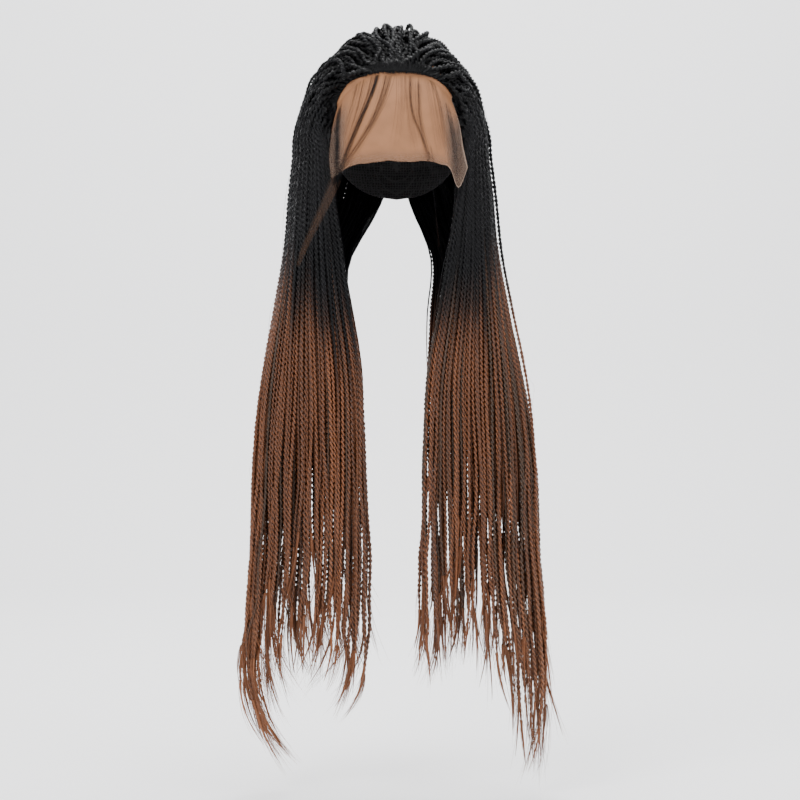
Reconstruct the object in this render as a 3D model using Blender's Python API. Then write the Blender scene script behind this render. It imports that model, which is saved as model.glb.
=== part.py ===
# A long lace-front wig of two-strand twists, worn pose, in metres with +Z up.
# The origin is where the crown of the head sits inside the cap, and -Y is the face.
import math

import bmesh
import bpy
import numpy as np

# The cap: a stretch-net shell over the skull. Its drops are measured down from the crown.
CAP_HALF_WIDTH = 0.075
CAP_HALF_DEPTH = 0.093
CAP_WIDEST_DROP = 0.110
CAP_LOWER_REACH = 0.130
CAP_WALL = 0.0015
CAP_COLUMNS = 40
CAP_RINGS = 7

# The lace: a sheer panel that hangs from the cap's front edge over the forehead.
LACE_WALL = 0.001
LACE_HALF_TURN = 57
LACE_DROP = 0.144
LACE_BULGE = 0.003
LACE_COLUMNS = 18
LACE_ROWS = 6

# The hair's envelope over the head, as an ellipsoid that the cap sits inside. Right and left are the wearer's.
HAIR_RISE = 0.020
HAIR_WIDEST_DROP = 0.190
HAIR_RIGHT_HALF_WIDTH = 0.1245
HAIR_LEFT_HALF_WIDTH = 0.1125
HAIR_FRONT = 0.115
HAIR_BACK = 0.125
ROOT_THICKNESS = 0.005

# Levels of the fall, down from the crown.
EAR_DROP = 0.120
CHEST_DROP = 0.360
PARTING_DROP = 0.560
TIP_DROP = 0.788

# The ring of hair round one side of the head at ear level.
TEMPLE_X = 0.078
TEMPLE_FRONT = 0.050
EAR_RIGHT_HALF_WIDTH = 0.1175
EAR_LEFT_HALF_WIDTH = 0.1090
EAR_BACK = 0.117

# The flattened ring that hangs on the chest.
CURTAIN_RIGHT_INNER_X = 0.0305
CURTAIN_LEFT_INNER_X = 0.0262
CURTAIN_RIGHT_HALF_WIDTH = 0.158
CURTAIN_LEFT_HALF_WIDTH = 0.1545
CURTAIN_FRONT = 0.100
CURTAIN_DEPTH = 0.040
CURTAIN_THICKNESS = 0.010

# The shape of a ring: how softly it turns at its outer edge, and how fast it swaps back for front.
ROUND_BEND = 0.8
ROUND_POWER = 1.85
FLAT_BEND = 0.32
FLAT_POWER = 4.4

LOCKS_PER_BAND = 10
LOCK_RIDGE = 0.0025
LOCK_TIP_WIDTH = 0.0016
CLEARANCE = 0.0004
SEAT_GAP = 0.002


def table(names, rows):
    """Rows of numbers as one array for each named column."""
    return dict(zip(names.split(), np.array(rows, float).T))


# Cap edge: turn is the share of a half circle from the front centre to the back, drop a share of CAP_WIDEST_DROP.
CAP_EDGE = table(
    "turn drop",
    [
        (0.00, 0.400),
        (0.20, 0.440),
        (0.33, 0.640),
        (0.42, 0.960),
        (0.52, 0.860),
        (0.66, 1.200),
        (0.84, 1.440),
        (1.00, 1.500),
    ],
)

# Lace hem: across runs from the wearer's right edge to the left, drop is a share of LACE_DROP,
# and flare pushes the hem out from the face, as a share of the cap's half depth.
LACE_HEM = table(
    "across drop flare",
    [
        (-1.00, 0.93, 0.08),
        (-0.60, 1.02, 0.06),
        (-0.20, 0.99, 0.05),
        (0.20, 1.01, 0.05),
        (0.60, 1.00, 0.09),
        (0.84, 1.18, 0.13),
        (1.00, 1.08, 0.16),
    ],
)

# How the hair lies on one half of the head: side runs from the back parting (0) to the temple (1).
# Turns are shares of a half circle from the front centre. root_drop is a share of CAP_WIDEST_DROP.
# over_tilt is the height, as a share of a right angle, of the direction that the hair bends over,
# and lift how far it rises from the cap towards the hair's envelope.
HEAD_FLOW = table(
    "side root_turn root_drop over_turn over_tilt lift",
    [
        (0.00, 0.000, 0.400, 0.50, 1.00, 1.00),
        (0.25, 0.085, 0.405, 0.36, 0.82, 1.00),
        (0.50, 0.185, 0.435, 0.45, 0.60, 0.95),
        (0.75, 0.285, 0.540, 0.43, 0.36, 0.75),
        (1.00, 0.345, 0.670, 0.38, 0.16, 0.20),
    ],
)
HEAD_LEVELS = [0.0, 0.1, 0.2, 0.3, 0.4, 0.5, 0.6, 0.7, 0.8, 0.9]

# How the ring of hair changes from its size at the ear (0) to that on the chest (1), column by column.
# level 0 to 1 is EAR_DROP to CHEST_DROP, and 1 to 2 is CHEST_DROP to PARTING_DROP.
# right_neck and left_neck are the inner edge of the back layer in shares of the curtain's inner edge.
# thickness is in shares of CURTAIN_THICKNESS.
HAIR_FALL = table(
    "level right_neck left_neck back_y side_x front_x front_y flat thickness",
    [
        (0.00, 0.00, 0.00, 0.00, 0.00, 0.00, 0.00, 0.00, 1.60),
        (0.22, 0.65, 0.60, 0.08, 0.12, 0.20, 0.10, 0.10, 1.50),
        (0.46, 1.70, 1.48, 0.30, 0.21, 0.42, 0.28, 0.35, 1.30),
        (0.75, 1.75, 1.38, 0.66, 0.44, 0.66, 0.56, 0.70, 1.15),
        (1.00, 1.50, 1.25, 0.89, 0.68, 0.88, 0.82, 0.90, 1.00),
        (1.45, 1.12, 1.05, 0.99, 0.91, 0.99, 0.97, 1.00, 1.00),
        (2.00, 1.00, 1.00, 1.00, 1.00, 1.00, 1.00, 1.00, 1.00),
    ],
)

# Loose ends: tip is a share of TIP_DROP. sway is how far the hair has drifted to the wearer's left at
# TIP_DROP, as a share of the curtain's half width.
LOOSE_ENDS = table(
    "side right_tip right_sway left_tip left_sway",
    [
        (0.00, 0.870, 0.10, 0.880, 0.00),
        (0.20, 0.860, 0.40, 0.850, -0.04),
        (0.40, 0.960, 0.66, 0.900, -0.08),
        (0.50, 0.970, 0.70, 0.925, -0.08),
        (0.60, 0.960, 0.64, 1.000, -0.04),
        (0.72, 0.880, 0.30, 0.960, -0.04),
        (0.84, 0.870, -0.20, 0.855, -0.04),
        (1.00, 0.925, -0.90, 0.890, -0.30),
    ],
)
LOOSE_LEVELS = [0.28, 0.54, 0.75, 0.90, 1.0]
LOOSE_WIDTHS = [0.82, 0.74, 0.60, 0.38, 0.0]
LOOSE_STAGGER = 0.05
LOOSE_FLARE = 0.020
SWAY_POWER = 6.0

# What differs between the wearer's right side, at -X, and the left.
SIDES = {
    "right": {
        "half": -1.0,
        "ear": EAR_RIGHT_HALF_WIDTH,
        "curtain": CURTAIN_RIGHT_HALF_WIDTH,
        "inner_x": CURTAIN_RIGHT_INNER_X,
    },
    "left": {
        "half": 1.0,
        "ear": EAR_LEFT_HALF_WIDTH,
        "curtain": CURTAIN_LEFT_HALF_WIDTH,
        "inner_x": CURTAIN_LEFT_INNER_X,
    },
}

BANDS = [("nape_twists", 0.0, 0.34), ("crown_twists", 0.34, 0.67), ("temple_twists", 0.67, 1.0)]

HAIR_COLOUR = (0.062, 0.026, 0.016, 1.0)
CAP_COLOUR = (0.012, 0.012, 0.014, 1.0)
LACE_COLOUR = (0.45, 0.29, 0.20, 1.0)


def through(columns, key, name, at):
    """A smooth curve through one column of a table, read at the key value at."""
    keys, values = columns[key], columns[name]
    slopes = np.gradient(values, keys)
    i = np.clip(np.searchsorted(keys, at, side="right") - 1, 0, len(keys) - 2)
    span = keys[i + 1] - keys[i]
    t = np.clip((at - keys[i]) / span, 0.0, 1.0)
    start = (1 + 2 * t) * (1 - t) ** 2 * values[i] + t * (1 - t) ** 2 * span * slopes[i]
    end = t * t * (3 - 2 * t) * values[i + 1] - t * t * (1 - t) * span * slopes[i + 1]
    return start + end


def mix(a, b, share):
    return a + (b - a) * share


def skull_point(turn, drop, grow):
    """A point on the skull's ellipsoid grown outwards, at a turn from the front (0) to the back (1)."""
    reach = CAP_WIDEST_DROP if drop < CAP_WIDEST_DROP else CAP_LOWER_REACH
    share = (CAP_WIDEST_DROP - drop) / (reach + grow)
    round_off = math.sqrt(max(0.0, 1.0 - share * share))
    angle = math.pi * turn
    x = (CAP_HALF_WIDTH + grow) * round_off * math.sin(angle)
    y = -(CAP_HALF_DEPTH + grow) * round_off * math.cos(angle)
    return np.array([x, y, -drop])


HEAD_CENTRE = np.array([0.0, 0.0, -CAP_WIDEST_DROP])


def reach_to_ellipsoid(start, direction, centre, semi):
    """How far a ray from start runs before it leaves an ellipsoid."""
    p = (start - centre) / semi
    d = direction / semi
    a, b, c = d @ d, 2 * (p @ d), p @ p - 1.0
    return (-b + math.sqrt(max(b * b - 4 * a * c, 0.0))) / (2 * a)


def skull_reach(direction, grow):
    """From the head's centre to the skull's surface grown outwards."""
    height = CAP_WIDEST_DROP if direction[2] > 0 else CAP_LOWER_REACH
    semi = np.array([CAP_HALF_WIDTH, CAP_HALF_DEPTH, height]) + grow
    return reach_to_ellipsoid(HEAD_CENTRE, direction, HEAD_CENTRE, semi)


def hair_reach(direction):
    """From the head's centre to the outside of the hair."""
    width = HAIR_LEFT_HALF_WIDTH if direction[0] > 0 else HAIR_RIGHT_HALF_WIDTH
    depth = HAIR_BACK if direction[1] > 0 else HAIR_FRONT
    semi = np.array([width, depth, HAIR_WIDEST_DROP + HAIR_RISE])
    centre = np.array([0.0, 0.0, -HAIR_WIDEST_DROP])
    return reach_to_ellipsoid(HEAD_CENTRE, direction, centre, semi)


def unit(vector):
    return vector / np.linalg.norm(vector)


def head_direction(ends, side, along):
    """The direction from the head's centre to the hair, bending from its root over the crown."""
    row = {n: through(HEAD_FLOW, "side", n, side) for n in HEAD_FLOW}
    root = unit(skull_point(row["root_turn"], row["root_drop"] * CAP_WIDEST_DROP, 0.0) - HEAD_CENTRE)
    turn = math.pi * row["over_turn"]
    tilt = 0.5 * math.pi * row["over_tilt"]
    over = np.array([math.cos(tilt) * math.sin(turn), -math.cos(tilt) * math.cos(turn), math.sin(tilt)])
    half = SIDES[ends]["half"]
    root[0] *= half
    over[0] *= half
    end = unit(ring_point(ends, side, 0.0) - HEAD_CENTRE)
    return unit(root * (1 - along) ** 2 + over * 2 * along * (1 - along) + end * along**2)


def half_ring(side, flat):
    """How far out and how far back a ring runs: a half circle when flat is 0, two straight sides when 1."""
    t = 2.0 * side - 1.0
    bend = mix(ROUND_BEND, FLAT_BEND, flat)
    power = mix(ROUND_POWER, FLAT_POWER, flat)
    out = 1.0 - (math.hypot(t, bend) - bend) / (math.hypot(1.0, bend) - bend)
    back = math.copysign(1.0 - (1.0 - abs(t)) ** power, -t)
    return out, back


def ring_point(ends, side, level):
    """A point on the ring of hair at a level of HAIR_FALL, for the right or left half of the head."""
    go = {n: through(HAIR_FALL, "level", n, level) for n in HAIR_FALL}
    half = SIDES[ends]
    back_x = half["inner_x"] * go[ends + "_neck"]
    front_x = mix(TEMPLE_X, half["inner_x"], go["front_x"])
    side_x = mix(half["ear"], half["curtain"], go["side_x"])
    back_y = mix(EAR_BACK, CURTAIN_DEPTH - CURTAIN_FRONT, go["back_y"])
    front_y = mix(-TEMPLE_FRONT, -CURTAIN_FRONT, go["front_y"])
    inner = mix(back_x, front_x, side)
    out, back = half_ring(side, go["flat"])
    x = mix(inner, side_x, out)
    y = mix(front_y, back_y, 0.5 + 0.5 * back)
    if level < 1.0:
        drop = mix(EAR_DROP, CHEST_DROP, level)
    else:
        drop = mix(CHEST_DROP, PARTING_DROP, level - 1.0)
    return np.array([half["half"] * x, y, -drop])


def outer_point(ends, side, step):
    """The outside of the hair. step counts the head's levels first and then those of HAIR_FALL."""
    if step >= len(HEAD_LEVELS):
        return ring_point(ends, side, HAIR_FALL["level"][step - len(HEAD_LEVELS)])
    along = HEAD_LEVELS[step]
    direction = head_direction(ends, side, along)
    near = skull_reach(direction, CAP_WALL + SEAT_GAP) + ROOT_THICKNESS
    lift = through(HEAD_FLOW, "side", "lift", side) * math.sin(0.5 * math.pi * min(1.0, along / HEAD_LEVELS[4]))
    reach = mix(near, max(near, hair_reach(direction)), lift)
    ring_reach = np.linalg.norm(ring_point(ends, side, 0.0) - HEAD_CENTRE)
    return HEAD_CENTRE + direction * mix(reach, ring_reach, along**3)


def outward(ends, side, step):
    """The outward normal of the hair's surface in the plane of its ring."""
    nudge = 0.01
    ahead = outer_point(ends, min(side + nudge, 1.0), step)
    behind = outer_point(ends, max(side - nudge, 0.0), step)
    tangent = ahead - behind
    return SIDES[ends]["half"] * unit(np.array([-tangent[1], tangent[0], 0.0]))


def inner_point(ends, side, step):
    """The inside of the hair: on the cap where it lies on the head, and a thickness in below that."""
    outer = outer_point(ends, side, step)
    away = outer - HEAD_CENTRE
    direction = unit(away)
    skull = skull_reach(direction, CAP_WALL + SEAT_GAP)
    ring = step - len(HEAD_LEVELS)
    if ring < 0:
        return HEAD_CENTRE + direction * skull
    thickness = HAIR_FALL["thickness"][ring] * CURTAIN_THICKNESS
    if ring < 2:
        return HEAD_CENTRE + direction * max(skull, np.linalg.norm(away) - thickness)
    return outer - outward(ends, side, step) * thickness


def joined_row(ends, edges, step):
    """Boundary, ridge and inner points across one band at a step where its locks are still one mat."""
    boundary = [outer_point(ends, s, step) for s in edges]
    inner = [inner_point(ends, s, step) for s in edges]
    ridge = []
    for low, high in zip(edges, edges[1:]):
        middle = 0.5 * (low + high)
        point = outer_point(ends, middle, step)
        ridge.append(point + unit(point - inner_point(ends, middle, step)) * LOCK_RIDGE)
    return boundary, ridge, inner


def loose_row(ends, edges, i, level):
    """The corners of lock i at a level of its loose end: outer edge, ridge, outer edge, inner, inner."""
    last = len(HEAD_LEVELS) + len(HAIR_FALL["level"]) - 1
    low, high = edges[i], edges[i + 1]
    middle = 0.5 * (low + high)
    outside, inside = outer_point(ends, middle, last), inner_point(ends, middle, last)
    corners = [outer_point(ends, low, last), outside, outer_point(ends, high, last)]
    corners += [inner_point(ends, high, last), inner_point(ends, low, last)]
    corners[1] = outside + unit(outside - inside) * LOCK_RIDGE
    core = 0.5 * (outside + inside)
    least = LOCK_TIP_WIDTH / np.linalg.norm(corners[2] - corners[0])
    width = max(LOOSE_WIDTHS[level], least)
    tip = through(LOOSE_ENDS, "side", ends + "_tip", middle) * TIP_DROP
    fall = LOOSE_LEVELS[level] * (tip - PARTING_DROP - LOOSE_STAGGER * (i % 2) * (TIP_DROP - PARTING_DROP))
    share = fall / (TIP_DROP - PARTING_DROP)
    half = SIDES[ends]
    sway = through(LOOSE_ENDS, "side", ends + "_sway", middle) * half["curtain"]
    drift = sway * share**SWAY_POWER + half["half"] * LOOSE_FLARE * share * abs(core[0]) / half["curtain"]
    move = np.array([drift, 0.0, -fall])
    return [core + (corner - core) * width + move for corner in corners]


def comb_mesh(name, ends, edges):
    """One closed mat of locks: joined from the roots to PARTING_DROP, then split into tapering ends."""
    bm = bmesh.new()
    locks = range(len(edges) - 1)
    rows = []
    for step in range(len(HEAD_LEVELS) + len(HAIR_FALL["level"])):
        boundary, ridge, inner = ([bm.verts.new(p) for p in line] for line in joined_row(ends, edges, step))
        rows.append([(boundary[i], ridge[i], boundary[i + 1], inner[i + 1], inner[i]) for i in locks])
    joined = len(rows)
    for level in range(len(LOOSE_LEVELS)):
        rows.append([tuple(bm.verts.new(p) for p in loose_row(ends, edges, i, level)) for i in locks])
    for upper in range(len(rows) - 1):
        for i in locks:
            a, b = rows[upper][i], rows[upper + 1][i]
            loose = upper >= joined - 1
            walls = [(0, 1), (1, 2), (3, 4)]
            if loose or i == locks[-1]:
                walls.append((2, 3))
            if loose or i == 0:
                walls.append((0, 4))
            for p, q in walls:
                bm.faces.new((a[p], a[q], b[q]))
                bm.faces.new((a[p], b[q], b[p]))
    for i in locks:
        bm.faces.new(rows[0][i])
        bm.faces.new(rows[-1][i])
    bmesh.ops.recalc_face_normals(bm, faces=bm.faces)
    return finished_mesh(bm, name)


def finished_mesh(bm, name):
    mesh = bpy.data.meshes.new(name)
    bm.to_mesh(mesh)
    bm.free()
    mesh.shade_smooth()
    mesh.set_sharp_from_angle(angle=math.radians(40))
    return mesh


def material(name, colour, roughness, alpha=1.0):
    made = bpy.data.materials.new(name)
    made.use_nodes = True
    shader = made.node_tree.nodes["Principled BSDF"]
    shader.inputs["Base Color"].default_value = colour
    shader.inputs["Roughness"].default_value = roughness
    shader.inputs["Metallic"].default_value = 0.0
    shader.inputs["Alpha"].default_value = alpha
    return made


def place(name, mesh, finish):
    part = bpy.data.objects.new(name, mesh)
    part.data.materials.append(finish)
    bpy.context.scene.collection.objects.link(part)
    return part


def edge_drop(turn):
    """The cap's edge below the crown at a turn from the front centre (0) to the back (1)."""
    return through(CAP_EDGE, "turn", "drop", turn) * CAP_WIDEST_DROP


def cap_mesh():
    """A dome of CAP_WALL over the skull, open below and cut to CAP_EDGE round the face, ears and nape."""
    bm = bmesh.new()
    shells = []
    for grow in (0.0, CAP_WALL):
        top = bm.verts.new((0.0, 0.0, grow))
        rings = []
        for ring in range(1, CAP_RINGS + 1):
            loop = []
            for column in range(CAP_COLUMNS):
                round_trip = 2.0 * column / CAP_COLUMNS
                turn = min(round_trip, 2.0 - round_trip)
                lean = (ring / CAP_RINGS) ** 1.4
                point = skull_point(turn, mix(0.0, edge_drop(turn) + grow, lean) - grow, grow)
                if round_trip > 1.0:
                    point[0] = -point[0]
                loop.append(bm.verts.new(point))
            rings.append(loop)
        shells.append((top, rings))
    for top, rings in shells:
        for column in range(CAP_COLUMNS):
            after = (column + 1) % CAP_COLUMNS
            bm.faces.new((top, rings[0][column], rings[0][after]))
            for upper, lower in zip(rings, rings[1:]):
                bm.faces.new((upper[column], lower[column], lower[after], upper[after]))
    inside, outside = shells[0][1][-1], shells[1][1][-1]
    for column in range(CAP_COLUMNS):
        after = (column + 1) % CAP_COLUMNS
        bm.faces.new((inside[column], inside[after], outside[after], outside[column]))
    bmesh.ops.recalc_face_normals(bm, faces=bm.faces)
    return finished_mesh(bm, "wig_cap")


def lace_point(across, down, grow):
    """The lace from the cap's front edge (down 0) to its hem (down 1), bowing off the brow."""
    turn = abs(across) * LACE_HALF_TURN / 180.0
    top = edge_drop(turn) + CLEARANCE + CAP_WALL
    hem = through(LACE_HEM, "across", "drop", across) * LACE_DROP
    flare = through(LACE_HEM, "across", "flare", across) * CAP_HALF_DEPTH
    drop = mix(top, hem, down)
    base = skull_point(turn, min(drop, CAP_WIDEST_DROP), grow)
    x = base[0] * (1.0 if across > 0 else -1.0)
    out = unit(np.array([x, base[1], 0.0]))
    push = flare * down**1.5 + LACE_BULGE * math.sin(math.pi * down)
    return np.array([x, base[1], -drop]) + out * push


def lace_mesh():
    """A thin closed sheet on a grid: front skin, back skin and the rim between them."""
    bm = bmesh.new()
    skins = []
    for grow in (0.0, LACE_WALL):
        grid = []
        for row in range(LACE_ROWS + 1):
            line = []
            for column in range(LACE_COLUMNS + 1):
                across = 2.0 * column / LACE_COLUMNS - 1.0
                line.append(bm.verts.new(lace_point(across, row / LACE_ROWS, grow)))
            grid.append(line)
        skins.append(grid)
    for grid in skins:
        for row in range(LACE_ROWS):
            for c in range(LACE_COLUMNS):
                bm.faces.new((grid[row][c], grid[row][c + 1], grid[row + 1][c + 1], grid[row + 1][c]))
    back, front = ([*g[0], *[r[-1] for r in g[1:]], *g[-1][-2::-1], *[r[0] for r in g[-2:0:-1]]] for g in skins)
    for i in range(len(back)):
        after = (i + 1) % len(back)
        bm.faces.new((back[i], back[after], front[after], front[i]))
    bmesh.ops.recalc_face_normals(bm, faces=bm.faces)
    return finished_mesh(bm, "lace_front")


def band_edges(ends, low, high):
    """Lock boundaries across one band, with a clearance in from its neighbours and from the back parting."""
    gap = CLEARANCE / (2.0 * SIDES[ends]["curtain"])
    start = low + gap if low > 0.0 else CLEARANCE / EAR_BACK
    return [mix(start, high - gap, i / LOCKS_PER_BAND) for i in range(LOCKS_PER_BAND + 1)]


def main():
    for old in list(bpy.data.objects):
        bpy.data.objects.remove(old)
    hair = material("twist_hair", HAIR_COLOUR, 0.45)
    place("wig_cap", cap_mesh(), material("cap_net", CAP_COLOUR, 0.8))
    place("lace_front", lace_mesh(), material("lace", LACE_COLOUR, 0.7, 0.45))
    for ends in SIDES:
        for band, low, high in BANDS:
            name = f"{band}_{ends}"
            place(name, comb_mesh(name, ends, band_edges(ends, low, high)), hair)


main()
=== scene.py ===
import math

import bpy
import numpy as np
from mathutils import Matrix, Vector


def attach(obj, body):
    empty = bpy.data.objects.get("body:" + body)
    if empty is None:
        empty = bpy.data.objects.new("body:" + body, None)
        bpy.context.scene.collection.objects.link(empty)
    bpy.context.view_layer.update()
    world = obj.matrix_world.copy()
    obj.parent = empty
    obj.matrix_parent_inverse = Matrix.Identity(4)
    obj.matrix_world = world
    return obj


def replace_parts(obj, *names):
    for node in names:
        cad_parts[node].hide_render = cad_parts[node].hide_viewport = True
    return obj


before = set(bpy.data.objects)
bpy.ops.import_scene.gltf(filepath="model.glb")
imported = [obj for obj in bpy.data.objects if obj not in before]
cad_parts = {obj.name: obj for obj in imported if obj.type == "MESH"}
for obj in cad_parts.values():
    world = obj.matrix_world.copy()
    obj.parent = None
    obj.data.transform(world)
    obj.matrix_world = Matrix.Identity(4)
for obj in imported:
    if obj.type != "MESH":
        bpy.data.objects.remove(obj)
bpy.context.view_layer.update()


def tableOf(names, rows):  # rows of numbers as one array for each named column
    return dict(zip(names.split(), np.array(rows, float).T))


# metres, with +Z up from the crown inside the cap; the face looks along -Y, and +X is the wearer's left
head = {"halfWidth": 0.075, "halfDepth": 0.093, "drop": 0.110, "lower": 0.130, "wall": 0.0015, "seat": 0.002}
envelope = {
    "rise": 0.020, "drop": 0.190, "right": 0.1245, "left": 0.1125, "front": 0.115, "back": 0.125,
    "root": 0.005, "liftedBy": 0.4,
}
fall = {  # levels down from the crown, then the ring of hair at the ear and on the chest
    "ear": 0.120, "chest": 0.360, "parting": 0.560, "tip": 0.788,
    "earBack": 0.117, "templeX": 0.078, "templeFront": 0.050, "front": 0.100, "depth": 0.040,
    "roundBend": 0.8, "flatBend": 0.32, "roundPower": 1.85, "flatPower": 4.4,
    "flare": 0.020, "swayPower": 6.0,
}
fallEnd = 3.0   # a twist's t: 0 to 1 over the head, 1 to 2 to the chest and 2 to 3 to the parting level
sides = {       # corner sets the hairline back, early turns the outer hair brown higher, ashen dulls it
    "right": {"seed": 11, "half": -1.0, "ear": 0.1175, "curtain": 0.158, "inner": 0.0305,
              "corner": 0.088, "early": 0.062, "ashen": 0.04},
    "left": {"seed": 23, "half": 1.0, "ear": 0.1090, "curtain": 0.1545, "inner": 0.0262,
             "corner": 0.034, "early": 0.092, "ashen": 0.16},
}
headFlow = tableOf("side rootTurn rootDrop overTurn overTilt lift", [
    (0.00, 0.000, 0.400, 0.50, 1.00, 1.00),
    (0.25, 0.085, 0.405, 0.36, 0.82, 1.00),
    (0.50, 0.185, 0.435, 0.45, 0.60, 0.95),
    (0.75, 0.285, 0.540, 0.43, 0.36, 0.75),
    (1.00, 0.345, 0.670, 0.38, 0.16, 0.20),
])
hairFall = tableOf("level rightNeck leftNeck backY sideX frontX frontY flat", [
    (0.00, 0.00, 0.00, 0.00, 0.00, 0.00, 0.00, 0.00),
    (0.22, 0.65, 0.60, 0.08, 0.12, 0.20, 0.10, 0.10),
    (0.46, 1.70, 1.48, 0.30, 0.21, 0.42, 0.28, 0.35),
    (0.75, 1.75, 1.38, 0.66, 0.44, 0.66, 0.56, 0.70),
    (1.00, 1.50, 1.25, 0.89, 0.68, 0.88, 0.82, 0.90),
    (1.45, 1.12, 1.05, 0.99, 0.91, 0.99, 0.97, 1.00),
    (2.00, 1.00, 1.00, 1.00, 1.00, 1.00, 1.00, 1.00),
])
looseEnds = tableOf("side rightTip rightSway leftTip leftSway", [
    (0.00, 0.870, 0.10, 0.880, 0.00),
    (0.20, 0.860, 0.40, 0.850, -0.04),
    (0.40, 0.960, 0.66, 0.900, -0.08),
    (0.50, 0.970, 0.70, 0.925, -0.08),
    (0.60, 0.960, 0.64, 1.000, -0.04),
    (0.72, 0.880, 0.30, 0.960, -0.04),
    (0.84, 0.870, -0.20, 0.855, -0.04),
    (1.00, 0.925, -0.90, 0.890, -0.30),
])
capEdge = tableOf("turn drop", [
    (0.00, 0.400), (0.20, 0.440), (0.33, 0.640), (0.42, 0.960),
    (0.52, 0.860), (0.66, 1.200), (0.84, 1.440), (1.00, 1.500),
])
headCentre = np.array([0.0, 0.0, -head["drop"]])


def mix(a, b, share):  # a share of the way from a to b
    return a + (b - a) * share


def smooth(low, high, value):  # 0 below low, 1 above high, and an S curve between
    t = np.clip((value - low) / (high - low), 0.0, 1.0)
    return t * t * (3.0 - 2.0 * t)


def unit(v):  # divided by its own length
    return v / np.maximum(np.linalg.norm(v, axis=-1, keepdims=True), 1e-12)


def stack(x, y, z):  # three arrays as places or directions
    return np.stack(np.broadcast_arrays(x, y, z), -1)


def readTable(table, key, name, at):  # a cubic through the column, with slopes from the neighbouring rows
    keys, values = table[key], table[name]
    slopes = np.gradient(values, keys)
    i = np.clip(np.searchsorted(keys, at, side="right") - 1, 0, len(keys) - 2)
    span = keys[i + 1] - keys[i]
    t = np.clip((at - keys[i]) / span, 0.0, 1.0)
    start = (1 + 2 * t) * (1 - t) ** 2 * values[i] + t * (1 - t) ** 2 * span * slopes[i]
    end = t * t * (3 - 2 * t) * values[i + 1] - t * t * (1 - t) * span * slopes[i + 1]
    return start + end


def rayReach(start, direction, centre, semi):  # the larger root where a ray meets an ellipsoid
    p = (start - centre) / semi
    d = direction / semi
    a = (d * d).sum(-1)
    b = 2.0 * (p * d).sum(-1)
    c = (p * p).sum(-1) - 1.0
    return (-b + np.sqrt(np.maximum(b * b - 4 * a * c, 0.0))) / (2 * a)


def skullReach(direction, grow):  # from the head's centre to the skull grown outwards
    height = np.where(direction[..., 2] > 0, head["drop"], head["lower"])
    semi = stack(head["halfWidth"] + grow, head["halfDepth"] + grow, height + grow)
    return rayReach(headCentre, direction, headCentre, semi)


def hairReach(direction):  # from the head's centre to the outside of the hair
    width = np.where(direction[..., 0] > 0, envelope["left"], envelope["right"])
    depth = np.where(direction[..., 1] > 0, envelope["back"], envelope["front"])
    semi = stack(width, depth, envelope["drop"] + envelope["rise"])
    return rayReach(headCentre, direction, np.array([0.0, 0.0, -envelope["drop"]]), semi)


def skullPoint(turn, drop, grow):  # on the ellipsoid, at a turn from the front (0) to the back (1)
    reach = np.where(drop < head["drop"], head["drop"], head["lower"])
    share = (head["drop"] - drop) / (reach + grow)
    roundOff = np.sqrt(np.maximum(0.0, 1.0 - share * share))
    angle = math.pi * turn
    x = (head["halfWidth"] + grow) * roundOff * np.sin(angle)
    y = -(head["halfDepth"] + grow) * roundOff * np.cos(angle)
    return stack(x, y, -drop)


def ringPoint(name, side, level):
    # a ring of hair round one half of the head: a half circle at the ear, two flat sides on the chest
    half = sides[name]
    go = {n: readTable(hairFall, "level", n, level) for n in hairFall}
    t = 2.0 * side - 1.0
    bend = mix(fall["roundBend"], fall["flatBend"], go["flat"])
    power = mix(fall["roundPower"], fall["flatPower"], go["flat"])
    out = 1.0 - (np.hypot(t, bend) - bend) / (np.hypot(1.0, bend) - bend)
    back = -np.sign(t) * (1.0 - (1.0 - np.abs(t)) ** power)
    backX = half["inner"] * go[name + "Neck"]
    frontX = mix(fall["templeX"], half["inner"], go["frontX"])
    sideX = mix(half["ear"], half["curtain"], go["sideX"])
    backY = mix(fall["earBack"], fall["depth"] - fall["front"], go["backY"])
    frontY = mix(-fall["templeFront"], -fall["front"], go["frontY"])
    x = mix(mix(backX, frontX, side), sideX, out)
    y = mix(frontY, backY, 0.5 + 0.5 * back)
    upper = mix(fall["ear"], fall["chest"], level)
    drop = np.where(level < 1.0, upper, mix(fall["chest"], fall["parting"], level - 1.0))
    return stack(half["half"] * x, y, -drop)


def headDirection(name, side, along):  # a quadratic bend of unit directions: root, over the crown, ear ring
    row = {n: readTable(headFlow, "side", n, side) for n in headFlow}
    flip = np.array([sides[name]["half"], 1.0, 1.0])
    root = unit(skullPoint(row["rootTurn"], row["rootDrop"] * head["drop"], 0.0) - headCentre) * flip
    turn = math.pi * row["overTurn"]
    tilt = 0.5 * math.pi * row["overTilt"]
    over = stack(np.cos(tilt) * np.sin(turn), -np.cos(tilt) * np.cos(turn), np.sin(tilt)) * flip
    end = unit(ringPoint(name, side, np.zeros_like(side)) - headCentre)
    a = along[..., None]
    return unit(root * (1 - a) ** 2 + over * 2 * a * (1 - a) + end * a ** 2)


def outerPoint(name, side, t):  # over the head between the skull and the hair's outside, then down the ring
    along = np.minimum(t, 1.0)
    direction = headDirection(name, side, along)
    near = skullReach(direction, head["wall"] + head["seat"]) + envelope["root"]
    rising = np.sin(0.5 * math.pi * np.clip(along / envelope["liftedBy"], 0.0, 1.0))
    lift = readTable(headFlow, "side", "lift", side) * rising
    reach = mix(near, np.maximum(near, hairReach(direction)), lift)
    ringReach = np.linalg.norm(ringPoint(name, side, np.zeros_like(side)) - headCentre, axis=-1)
    onHead = headCentre + direction * mix(reach, ringReach, along ** 3)[..., None]
    below = ringPoint(name, side, np.clip(t - 1.0, 0.0, fallEnd - 1.0))
    return np.where((t < 1.0)[..., None], onHead, below)


facing = {"step": 0.01, "from": 0.85, "to": 1.5}


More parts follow.
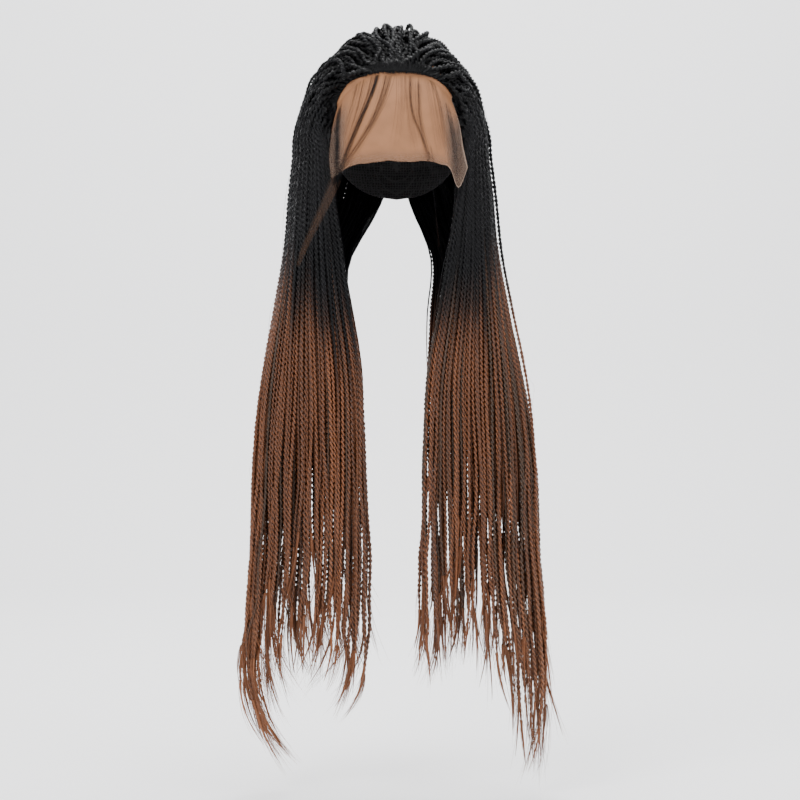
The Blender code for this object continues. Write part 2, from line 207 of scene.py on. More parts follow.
def outward(name, side, t):  # away from the head's centre above, and square to the ring below
    ahead = outerPoint(name, np.minimum(side + facing["step"], 1.0), t)
    behind = outerPoint(name, np.maximum(side - facing["step"], 0.0), t)
    tangent = (ahead - behind) * sides[name]["half"]
    ring = unit(stack(-tangent[..., 1], tangent[..., 0], np.zeros_like(t)))
    away = unit(outerPoint(name, side, t) - headCentre)
    return unit(mix(away, ring, smooth(facing["from"], facing["to"], t)[..., None]))


def laneFrame(name, along, t):  # places on the hair's outside, the way out of it and the way across the lane
    outer = outerPoint(name, along, t)
    normal = outward(name, along, t)
    return outer, normal, unit(np.cross(unit(np.gradient(outer, axis=1)), normal))


def wander(r, count, steps, waves, fade):  # sines from half a wave up, each weaker by its number to a power
    k = np.arange(1, waves + 1)[:, None, None]
    s = np.linspace(0.0, 1.0, steps)
    weight = r.normal(size=(waves, count, 1)) / k ** fade
    total = (weight * np.sin(math.pi * k * s + 2 * math.pi * r.random((waves, count, 1)))).sum(0)
    return total / math.sqrt(0.5 * float((k ** (-2.0 * fade)).sum()))


def resample(path, step, *others):  # evenly spaced along the path's own length, with other rows carried over
    arc = np.concatenate([[0.0], np.cumsum(np.linalg.norm(np.diff(path, axis=0), axis=1))])
    at = np.linspace(0.0, arc[-1], max(8, int(arc[-1] / step)))
    made = [np.stack([np.interp(at, arc, rows[:, k]) for k in range(3)], 1) for rows in (path, *others)]
    return at, *made


twistSet = {
    "count": 130, "steps": 130,     # twists on one side, and places along each down to the parting
    "crowd": 0.040,                 # how much closer they lie at the nape and the face than at the edge
    "margin": 0.004, "jitter": 0.3, "rootJitter": 0.04, "easing": 0.9,
    "rootRows": [0.0, 0.52, 0.18, 0.60, 0.36],   # how far over the head each row of roots lies
    "rowDepth": [0.0028, 0.0064, 0.0038, 0.0072, 0.0050],
    "boldRows": (0, 2), "frontRows": (0, 2, 4),  # those with the full section, and those that hang in front
    "rootLead": 0.016,              # the first row starts under the hairline
    "rootedOver": 0.11, "rootSink": 0.0024,
    "nearDepth": (0.0020, 0.0046), "farDepth": (0.0055, 0.0092), "depthWander": 0.0005,
    "depthWaves": (6, 0.5), "lowFrom": 0.9, "lowTo": 1.7,
    "crownIn": (0.02, 0.16), "crownOut": (0.35, 0.95),
    "crownRise": 0.0023, "riseWaves": (26, 0.35), "crownSway": 0.0044, "swayWaves": (26, 0.45),
    "crownDrift": 0.0066, "driftWaves": (9, 0.5),
    "leastSway": 0.0006, "lowSway": 0.0024, "lowSwayOver": (1.9, 3.0), "lowSwayIn": (0.3, 1.0),
    "lowWaves": (7, 0.9),
    "group": (4, 10), "gather": 0.24, "gatherFrom": 2.4,   # neighbours draw together low down
    "innermost": 0.008,
}
# the outermost hair of the left side lies inside the one loose twist that makes the edge there
standOff = {"name": "left", "side": 0.52, "reach": 0.15, "inset": 0.0054,
            "from": 0.68, "fadeIn": 0.3, "to": 1.9, "fadeOut": 0.7, "power": 0.5}
cornerSet = {"in": (0.48, 0.69), "out": (0.80, 1.0), "regained": 0.65}
tailSet = {
    "steps": 43, "shortShare": 0.65, "shorter": 0.34,
    "groupDrift": 0.004, "ownDrift": 0.003, "driftPower": 1.6,
    "sway": 0.0022, "swayWaves": (4, 0.8), "swayIn": 0.4, "depthDrift": 0.004, "depthPower": 1.5,
}


def besideLoose(name, side, t):  # how far inside the loose twist its neighbours lie, fading at all sides
    opening = smooth(standOff["from"], standOff["from"] + standOff["fadeIn"], t)
    window = opening * (1.0 - smooth(standOff["to"], standOff["to"] + standOff["fadeOut"], t))
    share = np.clip(1.0 - np.abs(side - standOff["side"]) / standOff["reach"], 0.0, 1.0) ** standOff["power"]
    return (standOff["inset"] if name == standOff["name"] else 0.0) * window * share[:, None]


def hairline(name, side):  # how far over the head the hair starts, further back at the brow's corners
    back = smooth(*cornerSet["in"], side)
    return sides[name]["corner"] * back * (1.0 - cornerSet["regained"] * smooth(*cornerSet["out"], side))


def looseTail(name, side, group, last, r):
    # below the parting level: straight down, with the table's drift growing as a power and a drift of its own
    n, half = len(side), sides[name]
    reach = fall["tip"] - fall["parting"]
    tip = readTable(looseEnds, "side", name + "Tip", side) * fall["tip"]
    tip = tip - reach * r.uniform(0.0, tailSet["shorter"], n) * (r.random(n) < tailSet["shortShare"])
    down = np.linspace(0.0, 1.0, tailSet["steps"] + 1)[None, 1:] * (tip - fall["parting"])[:, None]
    share = down / reach
    drawn = readTable(looseEnds, "side", name + "Sway", side)[:, None] * half["curtain"]
    flare = half["half"] * fall["flare"] * (np.abs(last[:, :1]) / half["curtain"])
    own = r.normal(size=n)[group][:, None] * tailSet["groupDrift"]
    own = own + r.normal(size=(n, 1)) * tailSet["ownDrift"]
    drift = drawn * share ** fall["swayPower"] + flare * share + own * share ** tailSet["driftPower"]
    waves = wander(r, n, tailSet["steps"], *tailSet["swayWaves"])
    drift = drift + tailSet["sway"] * waves * smooth(0.0, tailSet["swayIn"], share)
    y = r.normal(size=(n, 1)) * tailSet["depthDrift"] * share ** tailSet["depthPower"]
    return np.stack([last[:, :1] + drift, last[:, 1:2] + y, last[:, 2:] - down], -1)


def twistPaths(name):  # the middle line of every twist of one side, over the head and down to its tip
    n, steps = twistSet["count"], twistSet["steps"]
    r = np.random.default_rng(sides[name]["seed"])
    index = np.arange(n)
    even = (index + 0.5 + r.uniform(-twistSet["jitter"], twistSet["jitter"], n)) / n
    side = even - twistSet["crowd"] * np.sin(2 * math.pi * even)
    side = np.clip(side, twistSet["margin"], 1.0 - twistSet["margin"])
    row = index % len(twistSet["rootRows"])
    start = r.uniform(-twistSet["rootJitter"], twistSet["rootJitter"], n) * (row > 0)
    start = np.array(twistSet["rootRows"])[row] + start
    start = start + np.where(row == 0, hairline(name, side) - twistSet["rootLead"], 0.0)
    t = start[:, None] + (fallEnd - start[:, None]) * np.linspace(0.0, 1.0, steps) ** twistSet["easing"]
    past = t - start[:, None]
    group = np.searchsorted(np.cumsum(r.integers(*twistSet["group"], n)), index, side="right")
    middle = np.array([side[group == g].mean() for g in group])[:, None]
    gathered = twistSet["gather"] * smooth(twistSet["gatherFrom"], fallEnd, t)
    along = side[:, None] + (middle - side[:, None]) * gathered
    along = np.clip(along, twistSet["innermost"], 1.0 - twistSet["innermost"])
    outer, normal, lateral = laneFrame(name, along, t)
    # depth under the hair's outside: by row on the crown, near or far below, on the cap at the root
    crown = smooth(*twistSet["crownIn"], past) * (1.0 - smooth(*twistSet["crownOut"], t))
    rise = twistSet["crownRise"] * crown * wander(r, n, steps, *twistSet["riseWaves"])
    depthTop = np.array(twistSet["rowDepth"])[row][:, None] - rise
    nearDepth, farDepth = r.uniform(*twistSet["nearDepth"], n), r.uniform(*twistSet["farDepth"], n)
    depthLow = np.where(np.isin(row, twistSet["frontRows"]), nearDepth, farDepth)[:, None]
    depthLow = depthLow + twistSet["depthWander"] * wander(r, n, steps, *twistSet["depthWaves"])
    depth = mix(depthTop, depthLow, smooth(twistSet["lowFrom"], twistSet["lowTo"], t))
    inset = besideLoose(name, side, t)
    inset[np.argmin(np.abs(side - standOff["side"]))] = 0.0
    depth = depth + inset
    away = unit(outer - headCentre)
    seat = np.linalg.norm(outer - headCentre, axis=-1) - skullReach(away, head["wall"]) - twistSet["rootSink"]
    depth = mix(depth, np.maximum(seat, depth), 1.0 - smooth(0.0, twistSet["rootedOver"], past))
    sway = twistSet["crownSway"] * wander(r, n, steps, *twistSet["swayWaves"])
    sway = crown * (sway + twistSet["crownDrift"] * wander(r, n, steps, *twistSet["driftWaves"]))
    low = twistSet["leastSway"] + twistSet["lowSway"] * smooth(*twistSet["lowSwayOver"], t)
    low = low * smooth(*twistSet["lowSwayIn"], t)
    sway = sway + low * wander(r, n, steps, *twistSet["lowWaves"])
    core = outer - normal * depth[..., None] + lateral * sway[..., None]
    tail = looseTail(name, side, group, core[:, -1], r)
    path = np.concatenate([core, tail], 1)
    turned = np.concatenate([normal, np.repeat(normal[:, -1:], tail.shape[1], 1)], 1)
    near = np.isin(row, twistSet["boldRows"])
    return {"side": side, "row": row, "near": near, "path": path, "normal": turned, "r": r}


# the section through two strands, in half widths: across, up, and how much painted shade it gets in the
# groove between the strands
twistSections = {
    "near": tableOf("x y groove", [
        (0.88, -0.46, 0.0), (0.88, 0.46, 0.0), (0.00, 0.27, 1.0),
        (-0.88, 0.46, 0.0), (-0.88, -0.46, 0.0), (0.00, -0.27, 1.0),
    ]),
    "far": tableOf("x y groove", [
        (0.98, 0.00, 0.0), (0.00, 0.52, 0.9), (-0.98, 0.00, 0.0), (0.00, -0.52, 0.9),
    ]),
}
strandForm = {"rootFlat": 0.5, "middle": 0.5}         # how flat the root is, and a strand's middle
grainGap = {"strand": 7.0, "twist": 50, "tube": 90}   # how far apart the pieces lie in the fibre's noise


def frameAlong(path, normal):  # tangent by differences, the normal made square to it, and their cross product
    tangent = unit(np.gradient(path, axis=0))
    n = unit(normal - tangent * (normal * tangent).sum(-1, keepdims=True))
    return n, np.cross(n, tangent)


def twistTube(path, normal, arc, width, section, root, pitch, seed):
    # a two-strand section carried along the path, turning once a pitch after a flat root that doesn't turn
    n, b = frameAlong(path, normal)
    turn = (2 * math.pi * np.maximum(arc - root, 0.0) / pitch)[:, None]
    flat = mix(strandForm["rootFlat"], 1.0, smooth(0.0, root, arc))[:, None, None]
    e1 = np.cos(turn) * b - np.sin(turn) * n
    e2 = np.sin(turn) * b + np.cos(turn) * n
    radius = (0.5 * width)[:, None, None]
    x, y = section["x"][None, :, None], section["y"][None, :, None]
    spread = (x * e1[:, None] + y * e2[:, None]) * radius
    lift = (spread * n[:, None]).sum(-1, keepdims=True) * n[:, None]
    verts = path[:, None] + spread - lift * (1.0 - flat)
    angle = np.arctan2(section["y"], np.abs(section["x"]) - strandForm["middle"])
    strand = np.where(section["x"] > 0, 0.0, grainGap["strand"])
    grain = stack(np.cos(angle) + strand + seed, np.sin(angle), arc[:, None])
    return verts[None], grain[None]


def strandTubes(paths, radius, around, r):  # thin tubes: each ring is a regular polygon square to its path
    n = len(paths)
    tangent = unit(np.gradient(paths, axis=1))
    steep = np.abs(tangent[..., 1:2]) < 0.9
    aside = np.where(steep, np.array([0.0, 1.0, 0.0]), np.array([1.0, 0.0, 0.0]))
    e1 = unit(np.cross(tangent, aside))
    e2 = np.cross(tangent, e1)
    a = np.arange(around) * 2 * math.pi / around
    ring = np.cos(a)[:, None] * e1[:, :, None] + np.sin(a)[:, None] * e2[:, :, None]
    verts = paths[:, :, None] + ring * radius[..., None, None]
    lengths = np.linalg.norm(np.diff(paths, axis=1), axis=2)
    arc = np.concatenate([np.zeros((n, 1)), np.cumsum(lengths, 1)], 1)
    grain = stack(np.cos(a) + r.random((n, 1, 1)) * grainGap["tube"], np.sin(a), arc[..., None])
    return verts, grain


# the second field each vertex carries is its painted shade
pileFields = ("grain", "groove", "tone", "turn")   # what each vertex carries for its material
triangleCount = {}


def newPile():  # an empty set of tubes
    return {"count": 0, **{key: [] for key in ("quads", "ends", "verts", *pileFields)}}


def addTubes(pile, verts, grain, groove, tone, turn):  # four-sided faces between rings, one on each end
    tubes, steps, around = verts.shape[:3]
    a = np.arange(around)
    b = (a + 1) % around
    base = pile["count"] + np.arange(tubes)[:, None, None] * steps * around
    ring = base + np.arange(steps - 1)[None, :, None] * around
    corners = [ring + a, ring + b, ring + around + b, ring + around + a]
    pile["quads"].append(np.stack(corners, -1).reshape(-1, 4))
    pile["ends"] += [base[:, 0] + a[::-1], base[:, 0] + (steps - 1) * around + a]
    pile["verts"].append(verts.reshape(-1, 3))
    pile["grain"].append(np.broadcast_to(grain, verts.shape).reshape(-1, 3))
    for key, value in (("groove", groove), ("tone", tone), ("turn", turn)):
        value = np.asarray(value, float)
        value = value[:, None, None] if value.ndim == 1 else value
        pile[key].append(np.broadcast_to(value, verts.shape[:3]).reshape(-1))
    pile["count"] += tubes * steps * around


def tapered(radius, s, look):  # thinner by a power of the share along
    return radius * (1.0 - look["taper"] * s ** look["taperPower"])


def addStrands(pile, paths, radius, look, r):  # three-sided hairs of one kind, each with a tone of its own
    verts, grain = strandTubes(paths, radius, 3, r)
    addTubes(pile, verts, grain, look["groove"], r.uniform(*look["tone"], len(paths)), look["turn"])


def newObject(name, data):  # an object put into the scene at the origin
    obj = bpy.data.objects.new(name, data)
    bpy.context.scene.collection.objects.link(obj)
    return obj


def writeAttribute(mesh, key, values):  # one number or one vector for each vertex
    kind, field = ("FLOAT_VECTOR", "vector") if values.ndim == 2 else ("FLOAT", "value")
    made = mesh.attributes.new(key, kind, "POINT")
    made.data.foreach_set(field, values.astype(np.float32).reshape(-1))


def writePile(pile, name, material):  # all the tubes of a pile as one mesh
    faces = pile["quads"] + pile["ends"]
    loops = np.concatenate([q.reshape(-1) for q in faces])
    sizes = np.concatenate([np.full(len(q), q.shape[1]) for q in faces])
    mesh = bpy.data.meshes.new(name)
    mesh.vertices.add(pile["count"])
    mesh.vertices.foreach_set("co", np.concatenate(pile["verts"]).astype(np.float32).reshape(-1))
    mesh.loops.add(len(loops))
    mesh.loops.foreach_set("vertex_index", loops.astype(np.int32))
    mesh.polygons.add(len(sizes))
    firsts = np.concatenate([[0], np.cumsum(sizes)[:-1]])
    mesh.polygons.foreach_set("loop_start", firsts.astype(np.int32))
    mesh.update(calc_edges=True)
    mesh.validate()
    mesh.shade_smooth()
    for key in pileFields:
        writeAttribute(mesh, key, np.concatenate(pile[key]))
    obj = newObject(name, mesh)
    mesh.materials.append(material)
    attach(obj, "root")
    triangleCount[name] = int((sizes - 2).sum())
    print("made", name, "with", triangleCount[name], "triangles")
    return obj


def groupOf(name, inputs, outputs):  # a shader group with its named sockets
    tree = bpy.data.node_groups.new(name, "ShaderNodeTree")
    for label, kind, value in inputs:
        made = tree.interface.new_socket(name=label, in_out="INPUT", socket_type=kind)
        if value is not None:
            made.default_value = value
    for label, kind in outputs:
        tree.interface.new_socket(name=label, in_out="OUTPUT", socket_type=kind)
    return tree, tree.nodes.new("NodeGroupInput"), tree.nodes.new("NodeGroupOutput")


def node(tree, kind, links=(), **settings):  # its sockets take another node's output or a value
    made = tree.nodes.new(kind)
    for key, value in settings.items():
        setattr(made, key, value)
    for socket, value in links:
        target = made.inputs[socket]
        if isinstance(value, bpy.types.NodeSocket):
            tree.links.new(value, target)
        else:
            target.default_value = value
    return made


def maths(tree, op, a, b=0.0):  # one operation on two values
    return node(tree, "ShaderNodeMath", [(0, a), (1, b)], operation=op).outputs[0]


def mapped(tree, value, low, high, toLow, toHigh, kind="LINEAR"):  # one range onto another, held at its ends
    links = [("Value", value), ("From Min", low), ("From Max", high), ("To Min", toLow), ("To Max", toHigh)]
    return node(tree, "ShaderNodeMapRange", links, interpolation_type=kind).outputs[0]


def scaled(tree, colour, value):  # a colour times a value
    return node(tree, "ShaderNodeVectorMath", [(0, colour), ("Scale", value)], operation="SCALE").outputs[0]


def blended(tree, share, a, b):  # a share of the way from colour a to colour b
    links = [("Factor", share), ("A", a), ("B", b)]
    return node(tree, "ShaderNodeMix", links, data_type="RGBA").outputs["Result"]


def noise(tree, at, scale, detail, roughness=0.5):  # from 0 to 1 through the places given
    links = [("Vector", at), ("Scale", scale), ("Detail", detail), ("Roughness", roughness)]
    return node(tree, "ShaderNodeTexNoise", links).outputs["Fac"]


def attribute(tree, name, field="Fac"):  # what each vertex carries by that name
    return node(tree, "ShaderNodeAttribute", attribute_name=name).outputs[field]


def bumped(tree, shader, height, strength, distance):  # tilts the shader's normal by a height
    links = [("Height", height), ("Strength", strength), ("Distance", distance)]
    tree.links.new(node(tree, "ShaderNodeBump", links).outputs[0], shader.inputs["Normal"])


def objectHeight(tree):  # Z in Object coordinates
    place = node(tree, "ShaderNodeTexCoord")
    return node(tree, "ShaderNodeSeparateXYZ", [(0, place.outputs["Object"])]).outputs[2]


noiseRange = (0.3, 0.7)   # where nearly all of a noise's values lie
fibreSet = {"slowness": 60.0, "broad": 0.35, "fineShare": 0.65}


def fibreGroup():  # noise stretched along the strand: many fine streaks round it, slow change along it
    inputs = [("Grain", "NodeSocketVector", None), ("Fineness", "NodeSocketFloat", 6.0)]
    outputs = [("Streak", "NodeSocketFloat"), ("Height", "NodeSocketFloat")]
    tree, given, out = groupOf("FibreStreaks", inputs, outputs)
    parts = node(tree, "ShaderNodeSeparateXYZ", [(0, given.outputs["Grain"])])
    x = maths(tree, "MULTIPLY", parts.outputs[0], given.outputs["Fineness"])
    y = maths(tree, "MULTIPLY", parts.outputs[1], given.outputs["Fineness"])
    z = maths(tree, "MULTIPLY", parts.outputs[2], fibreSet["slowness"])
    at = node(tree, "ShaderNodeCombineXYZ", [(0, x), (1, y), (2, z)]).outputs[0]
    fine = noise(tree, at, 1.0, 3.0, 0.65)
    broad = noise(tree, at, fibreSet["broad"], 1.0)
    fineShare = maths(tree, "MULTIPLY", fine, fibreSet["fineShare"])
    both = maths(tree, "ADD", fineShare, maths(tree, "MULTIPLY", broad, 1.0 - fibreSet["fineShare"]))
    tree.links.new(both, out.inputs["Streak"])
    tree.links.new(fine, out.inputs["Height"])
    return tree


dye = {  # linear colours, and the metres below the crown between which one turns into the next
    "root": (0.0046, 0.0046, 0.0054, 1), "turning": (0.022, 0.0090, 0.0052, 1),
    "length": (0.117, 0.0396, 0.0148, 1), "tips": (0.205, 0.078, 0.034, 1), "ash": (0.078, 0.042, 0.023, 1),
    "from": 0.240, "to": 0.342, "turningAt": 0.42, "tipFrom": 0.56, "tipTo": 0.73,
    "ashFrom": 0.18, "ashTo": 0.05, "ashMost": 0.85, "toneLight": (0.55, 1.45), "streakLight": (0.45, 1.6),
}


def fadeGroup():  # colour by height: black above the turn, warm brown below it, redder at the very ends
    values = {"Turn": 0.0, "Tone": 0.5, "Streak": 0.5}
    inputs = [(label, "NodeSocketFloat", value) for label, value in values.items()]
    outputs = [("Colour", "NodeSocketColor"), ("Depth", "NodeSocketFloat")]
    tree, given, out = groupOf("RootFade", inputs, outputs)
    below = maths(tree, "SUBTRACT", given.outputs["Turn"], objectHeight(tree))
    depth = mapped(tree, below, dye["from"], dye["to"], 0.0, 1.0, "SMOOTHSTEP")
    low = mapped(tree, below, dye["tipFrom"], dye["tipTo"], 0.0, 1.0)
    turning = mapped(tree, depth, 0.0, dye["turningAt"], 0.0, 1.0)
    first = blended(tree, turning, dye["root"], dye["turning"])
    second = blended(tree, mapped(tree, depth, dye["turningAt"], 1.0, 0.0, 1.0), first, dye["length"])
    dull = mapped(tree, given.outputs["Tone"], dye["ashFrom"], dye["ashTo"], 0.0, dye["ashMost"])
    ashen = blended(tree, maths(tree, "MULTIPLY", dull, depth), second, dye["ash"])
    ends = blended(tree, low, ashen, dye["tips"])
    tone = mapped(tree, given.outputs["Tone"], 0.0, 1.0, *dye["toneLight"])
    streak = mapped(tree, given.outputs["Streak"], *noiseRange, *dye["streakLight"])
    tree.links.new(scaled(tree, ends, maths(tree, "MULTIPLY", tone, streak)), out.inputs["Colour"])
    tree.links.new(depth, out.inputs["Depth"])
    return tree


groups = {"fibre": fibreGroup(), "fade": fadeGroup()}


def useGroup(tree, key, links):  # places a group with values of its own
    return node(tree, "ShaderNodeGroup", links, node_tree=groups[key])


def newMaterial(name):  # a material, its tree and its shader
    made = bpy.data.materials.new(name)
    made.use_nodes = True
    return made, made.node_tree, made.node_tree.nodes["Principled BSDF"]


hairLooks = {
    "twistHair": {"roughness": 0.36, "fineness": 6.0, "bump": 0.7, "specular": 0.13, "coat": 0.30},
    "looseHair": {"roughness": 0.42, "fineness": 2.0, "bump": 0.2, "specular": 0.16, "coat": 0.20},
}
hairShare = {"grooveShade": 0.24, "rougher": 0.12, "smoother": 0.08, "relief": 0.0006}


def hairMaterial(name):  # streaked fibre with painted shade in the groove between the strands and at the roots, with a coat where it is brown
    look = hairLooks[name]
    made, tree, shader = newMaterial(name)
    grain = attribute(tree, "grain", "Vector")
    fibre = useGroup(tree, "fibre", [("Grain", grain), ("Fineness", look["fineness"])])
    streak = fibre.outputs["Streak"]
    links = [("Turn", attribute(tree, "turn")), ("Tone", attribute(tree, "tone")), ("Streak", streak)]
    fade = useGroup(tree, "fade", links)
    # the painted shade darkens the base colour towards grooveShade
    shade = mapped(tree, attribute(tree, "groove"), 0.0, 1.0, 1.0, hairShare["grooveShade"])
    tree.links.new(scaled(tree, fade.outputs["Colour"], shade), shader.inputs["Base Color"])
    rough, fine = look["roughness"] + hairShare["rougher"], look["roughness"] - hairShare["smoother"]
    tree.links.new(mapped(tree, streak, *noiseRange, rough, fine), shader.inputs["Roughness"])
    shader.inputs["Specular IOR Level"].default_value = look["specular"]
    coat = mapped(tree, fade.outputs["Depth"], 0.0, 1.0, 0.0, look["coat"])
    tree.links.new(coat, shader.inputs["Coat Weight"])
    shader.inputs["Coat Roughness"].default_value = look["roughness"]
    bumped(tree, shader, fibre.outputs["Height"], look["bump"], hairShare["relief"])
    return made


laceLook = {
    "colour": (0.286, 0.132, 0.063, 1), "shaded": (0.135, 0.098, 0.078, 1), "edge": (0.36, 0.27, 0.21, 1),
    "cell": 0.0008, "thread": (-0.9, 0.4), "cover": (0.78, 0.96), "sheerCover": 0.32, "edgeCover": 0.9,
    "shadedShare": 0.85, "edgeShare": 0.6, "cloud": 45.0, "cloudLight": (0.90, 1.10),
    "roughness": 0.7, "specular": 0.25, "bump": 0.12, "relief": 0.0002,
}


def laceMaterial(name):
    # a six-sided net: three cosines at 60 degrees add up high in the holes and low on the threads
    made, tree, shader = newMaterial(name)
    weave, rim = attribute(tree, "weave", "Vector"), attribute(tree, "rim")
    sheer = attribute(tree, "sheer")
    waves = []
    for k in range(3):
        links = [(0, weave), (1, (math.cos(k * math.pi / 3), math.sin(k * math.pi / 3), 0.0))]
        along = node(tree, "ShaderNodeVectorMath", links, operation="DOT_PRODUCT").outputs["Value"]
        waves.append(maths(tree, "COSINE", maths(tree, "MULTIPLY", along, 2 * math.pi / laceLook["cell"])))
    total = maths(tree, "ADD", maths(tree, "ADD", waves[0], waves[1]), waves[2])
    thread = mapped(tree, total, *laceLook["thread"], 1.0, 0.0, "SMOOTHSTEP")
    cover = mapped(tree, thread, 0.0, 1.0, *laceLook["cover"])
    woven = maths(tree, "MULTIPLY", cover, mapped(tree, sheer, 0.0, 1.0, 1.0, laceLook["sheerCover"]))
    alpha = maths(tree, "MAXIMUM", woven, mapped(tree, rim, 0.0, 1.0, 0.0, laceLook["edgeCover"]))
    vary = mapped(tree, noise(tree, weave, laceLook["cloud"], 2.0), *noiseRange, *laceLook["cloudLight"])
    shadedShare = mapped(tree, sheer, 0.0, 1.0, 0.0, laceLook["shadedShare"])
    shaded = blended(tree, shadedShare, laceLook["colour"], laceLook["shaded"])
    tint = blended(tree, mapped(tree, rim, 0.0, 1.0, 0.0, laceLook["edgeShare"]), shaded, laceLook["edge"])
    tree.links.new(scaled(tree, tint, vary), shader.inputs["Base Color"])
    tree.links.new(alpha, shader.inputs["Alpha"])
    shader.inputs["Roughness"].default_value = laceLook["roughness"]
    shader.inputs["Specular IOR Level"].default_value = laceLook["specular"]
    bumped(tree, shader, thread, laceLook["bump"], laceLook["relief"])
    return made


capLook = {
    "cell": 0.0030, "weft": 0.0090, "thread": (0.05, 0.16), "row": 0.22, "unevenness": 0.25,
    "hole": (0.0035, 0.0035, 0.0042, 1), "net": (0.017, 0.016, 0.017, 1), "roughness": (0.85, 0.6),
    "bump": 0.6, "relief": 0.0005,
}


def capMaterial(name):  # stretch net in Object coordinates, crossed by the sewn rows that carry the hair
    made, tree, shader = newMaterial(name)
    place = node(tree, "ShaderNodeTexCoord")
    links = [("Vector", place.outputs["Object"]), ("Scale", 1.0 / capLook["cell"])]
    links.append(("Randomness", capLook["unevenness"]))
    cells = node(tree, "ShaderNodeTexVoronoi", links, feature="DISTANCE_TO_EDGE")
    thread = mapped(tree, cells.outputs["Distance"], *capLook["thread"], 1.0, 0.0)
    wave = maths(tree, "SINE", maths(tree, "MULTIPLY", objectHeight(tree), math.pi / capLook["weft"]))
    row = mapped(tree, maths(tree, "ABSOLUTE", wave), 0.0, capLook["row"], 1.0, 0.0, "SMOOTHSTEP")
    raised = maths(tree, "MAXIMUM", thread, row)
    tree.links.new(blended(tree, raised, capLook["hole"], capLook["net"]), shader.inputs["Base Color"])
    tree.links.new(mapped(tree, raised, 0.0, 1.0, *capLook["roughness"]), shader.inputs["Roughness"])
    bumped(tree, shader, raised, capLook["bump"], capLook["relief"])
    return made


hairFinish = hairMaterial("twistHair")
wispFinish = hairMaterial("looseHair")
laceFinish = laceMaterial("laceNet")
capFinish = capMaterial("capNet")
print("materials made")

tuftSet = {
    "length": (0.042, 0.086), "steps": 9, "core": 0.31, "fineEnd": 0.00008, "point": 0.75, "lean": 0.35,
    # each tuft's pointed lock gets a little painted shade
    "groove": 0.1, "wisps": 6, "wispRadius": 0.00030, "wispSize": (0.7, 1.5), "wispLength": (0.6, 1.25),
    "taper": 0.9, "taperPower": 1.5, "spread": 0.0016, "scatter": (1.0, 0.7, 0.2), "bend": 0.09,
    "bendWays": (1.0, 0.6, 0.1), "tone": 0.15, "curl": 0.19, "curlBack": 0.08, "rim": 0.120, "rimCurl": 0.25,
    "brushedShare": 0.30, "brushedWisps": 14, "brushedSpread": 0.0034, "brushedCore": 0.6,
}


def addTuft(pile, end, heading, length, width, lean, tone, turn, r):
    # loose hair past the last turn: one pointed lock and a few wisps along the same parabola
    s = np.linspace(0.0, 1.0, tuftSet["steps"])[None, :, None]
    brushed = r.random() < tuftSet["brushedShare"]
    n = tuftSet["brushedWisps"] if brushed else tuftSet["wisps"]
    spread = tuftSet["brushedSpread"] if brushed else tuftSet["spread"]
    aim = r.uniform(-1.0, 1.0)
    outside = aim * end[0] > 0 and abs(end[0]) > tuftSet["rim"]   # the outermost ends bend in rather than out
    aside = lean + aim * tuftSet["curl"] * (tuftSet["rimCurl"] if outside else 1.0)
    curl = np.array([aside, r.uniform(-tuftSet["curlBack"], tuftSet["curlBack"]), 0.0]) * length
    core = end + heading * length * s + curl * s ** 2
    radius = width * tuftSet["core"] * (tuftSet["brushedCore"] if brushed else 1.0)
    radius = radius * (1.0 - s[..., 0]) ** tuftSet["point"] + tuftSet["fineEnd"]
    verts, grain = strandTubes(core, radius, 4, r)
    addTubes(pile, verts, grain, tuftSet["groove"], tone, turn)
    own = r.uniform(*tuftSet["wispLength"], (n, 1, 1))
    aside = r.normal(size=(n, 1, 3)) * np.array(tuftSet["scatter"]) * spread
    bend = r.uniform(-1.0, 1.0, (n, 1, 3)) * np.array(tuftSet["bendWays"]) * length * tuftSet["bend"]
    wisps = end + heading * length * own * s + curl * (own * s) ** 2
    wisps = wisps + aside * (0.35 + 1.4 * s * (1.2 - s)) + bend * s ** 2
    radius = tapered(tuftSet["wispRadius"] * r.uniform(*tuftSet["wispSize"], (n, 1)), s[..., 0], tuftSet)
    verts, grain = strandTubes(wisps, radius, 3, r)
    addTubes(pile, verts, grain, 0.0, np.clip(tone + r.normal(size=n) * tuftSet["tone"], 0, 1), turn)


threadSet = {  # the twisted hair itself: widths, the smooth root before the first turn, and its tones
    "rootWidth": 0.0056, "firstWiden": 1.1, "width": 0.0047, "tipWidth": 0.0040, "farWiden": 1.20,
    "rootTo": 0.10, "narrow": (0.18, 0.48), "ripple": 0.05, "ripples": 90, "endShare": 0.6, "endOver": 0.03,
    "size": (0.90, 1.10), "pitch": 0.0116, "pitchVary": (0.90, 1.12),
    "rootLength": (0.005, 0.012), "templeRoot": 1.2, "templeFrom": 0.75, "laterRoot": 0.004,
    "step": {"near": 0.0023, "far": 0.0025}, "headingSteps": 8,
    # far twists lie deeper, under the near ones, so their lower tone is painted shade on top of the random
    # spread of tone
    "tone": {"near": 0.50, "far": 0.36}, "toneSpread": 0.24, "tuftTone": 0.15,
    "rootShade": 0.75, "laterShade": 0.8, "shadeTo": (0.008, 0.040),
    "turnSpread": 0.020, "turnPower": 1.2, "turnShift": 0.030,
}


